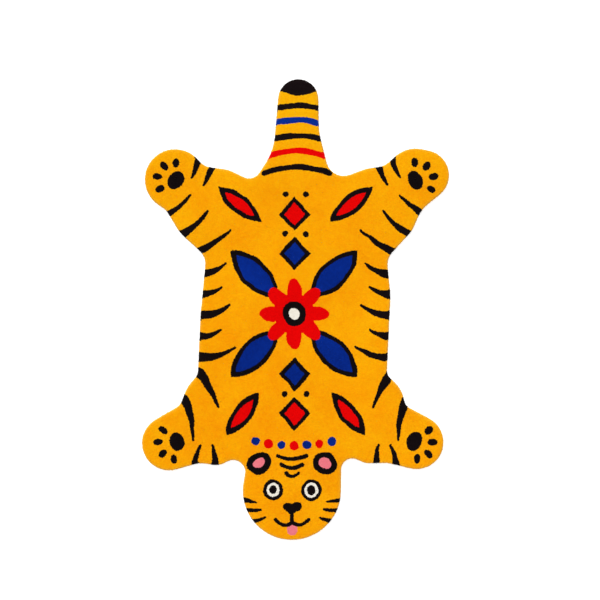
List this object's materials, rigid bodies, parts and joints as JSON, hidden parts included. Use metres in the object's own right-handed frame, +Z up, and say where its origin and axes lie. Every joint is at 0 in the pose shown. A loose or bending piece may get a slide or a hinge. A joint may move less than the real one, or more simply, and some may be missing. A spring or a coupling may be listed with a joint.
{
  "type": "tiger-shaped rug",
  "caption": "Flat hand-tufted wool rug cut to the outline of a tiger pelt, with head, legs and tail, to lie on a floor.",
  "frame": {"origin": "on the underside, at the middle of the rug's length and width", "axes": "+Z up out of the pile, +Y along the rug from the head to the tail, +X to the right with the tail away from the viewer"},
  "size_m": [0.9997, 1.4999, 0.014],
  "materials": {
    "gold_pile": "cut wool pile",
    "black_pile": "cut wool pile",
    "blue_pile": "cut wool pile",
    "red_pile": "cut wool pile",
    "pink_pile": "cut wool pile",
    "white_pile": "cut wool pile",
    "backing": "plain woven cotton"
  },
  "bodies": {
    "root": {"rug": "gold_pile"}
  },
  "joints": []
}
